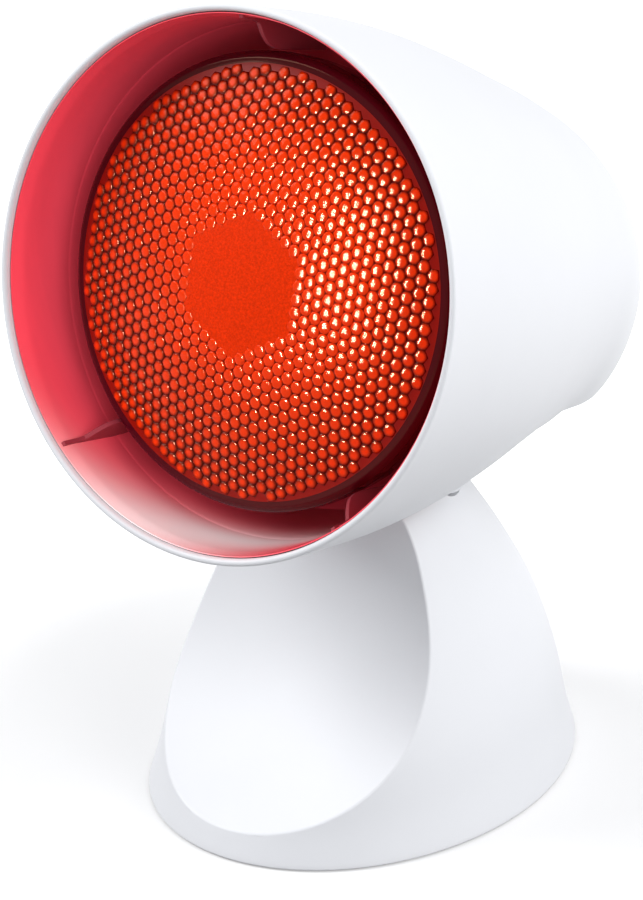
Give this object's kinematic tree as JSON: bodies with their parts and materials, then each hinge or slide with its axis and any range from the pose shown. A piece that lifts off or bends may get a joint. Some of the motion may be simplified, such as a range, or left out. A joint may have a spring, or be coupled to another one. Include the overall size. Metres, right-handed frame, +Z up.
{
  "type": "infrared heat lamp",
  "caption": "Table heat lamp: a round tilting hood around a red reflector bulb, hinged on a hollow tapered stand with a weighted base and a rocker switch at the back.",
  "frame": {"origin": "on the floor, under the middle of the whole lamp's box", "axes": "+Z up, the lens looks along -Y, +X to the lamp's left as it looks out"},
  "size_m": [0.1448, 0.1948, 0.2382],
  "materials": {
    "white_plastic": "satin gloss, cool white",
    "inner_plastic": "matt, light grey",
    "switch_plastic": "satin, light grey",
    "liner_red": "red lacquer, satin",
    "red_glass": "polished, orange red",
    "clear_glass": "clear",
    "wire_steel": "drawn wire",
    "cap_brass": "nickelled brass, bright",
    "dark_glass": "black, glossy",
    "ceramic": "glazed ceramic",
    "sheet_steel": "zinc plated",
    "screw_steel": "zinc plated",
    "washer_plastic": "matt, dark grey",
    "ballast_iron": "as cast",
    "foot_rubber": "matt, black",
    "gland_rubber": "matt, dark grey"
  },
  "bodies": {
    "stand": {"stand_shell": "white_plastic", "base_plate": "inner_plastic", "ballast_weight": "ballast_iron", "foot_front_left": "foot_rubber", "foot_front_right": "foot_rubber", "foot_rear_left": "foot_rubber", "foot_rear_right": "foot_rubber", "base_screw_front_left": "screw_steel", "base_screw_front_right": "screw_steel", "base_screw_rear_left": "screw_steel", "base_screw_rear_right": "screw_steel", "click_spring": "sheet_steel", "switch_body": "switch_plastic", "switch_blade_lower": "cap_brass", "switch_blade_upper": "cap_brass", "cord_gland": "gland_rubber"},
    "head": {"hood_shell": "white_plastic", "vent_cover": "inner_plastic", "click_wheel": "inner_plastic", "hood_liner": "liner_red", "bulb_lens": "red_glass", "bulb_reflector": "red_glass", "bulb_stem": "clear_glass", "filament": "wire_steel", "filament_lead_left": "wire_steel", "filament_lead_right": "wire_steel", "bulb_cap": "cap_brass", "bulb_contact": "cap_brass", "holder_sleeve": "cap_brass", "holder_tongue": "cap_brass", "bulb_insulator": "dark_glass", "holder_body": "ceramic", "head_frame": "sheet_steel", "frame_screw_left": "screw_steel", "frame_screw_right": "screw_steel", "holder_screw_left": "screw_steel", "holder_screw_right": "screw_steel", "pivot_bolt": "screw_steel", "pivot_nut": "screw_steel", "hinge_washer_left": "washer_plastic", "hinge_washer_right": "washer_plastic"},
    "rocker": {"switch_rocker": "switch_plastic"}
  },
  "joints": [
    {"name": "head_tilt", "type": "hinge", "parent": "stand", "child": "head", "pos_m": [0, -0.00561, 0.101], "axis": [1, 0, 0], "range_deg": [-20, 20]},
    {"name": "rocker_press", "type": "hinge", "parent": "stand", "child": "rocker", "pos_m": [0, 0.04791, 0.03663], "axis": [1, 0, 0], "range_deg": [0, 12]}
  ]
}
